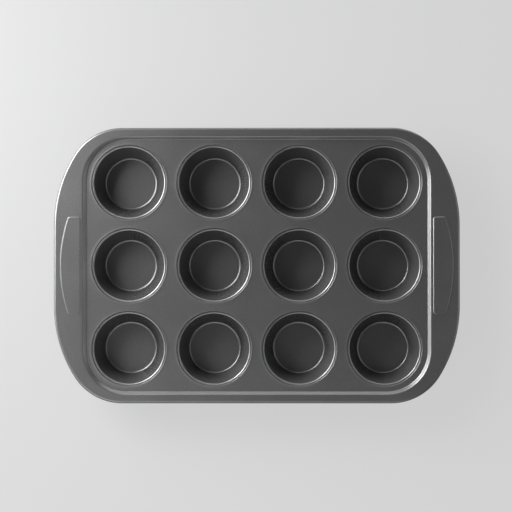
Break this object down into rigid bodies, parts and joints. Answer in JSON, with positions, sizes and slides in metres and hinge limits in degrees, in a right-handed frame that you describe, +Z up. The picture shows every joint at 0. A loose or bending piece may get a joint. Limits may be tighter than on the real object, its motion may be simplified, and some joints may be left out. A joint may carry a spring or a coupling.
{
  "type": "muffin pan",
  "caption": "Pressed steel muffin pan with a wired rolled rim, broad grip ends with raised plain panels, and a grid of drawn tapered cups set in a recessed web.",
  "frame": {"origin": "middle of the pan's length and width, on the surface that the cup floors rest on", "axes": "+X along the pan's length from grip to grip, +Y across its width, +Z up out of the cups"},
  "size_m": [0.4, 0.2714, 0.0353],
  "materials": {
    "coating": "satin dark grey non-stick coating on steel, with a fine metallic fleck",
    "wire_steel": "drawn steel wire"
  },
  "bodies": {
    "root": {"frame_sheet": "coating", "rim_wire": "wire_steel", "cup_row1_col1": "coating", "cup_row1_col2": "coating", "cup_row1_col3": "coating", "cup_row1_col4": "coating", "cup_row2_col1": "coating", "cup_row2_col2": "coating", "cup_row2_col3": "coating", "cup_row2_col4": "coating", "cup_row3_col1": "coating", "cup_row3_col2": "coating", "cup_row3_col3": "coating", "cup_row3_col4": "coating"}
  },
  "joints": []
}
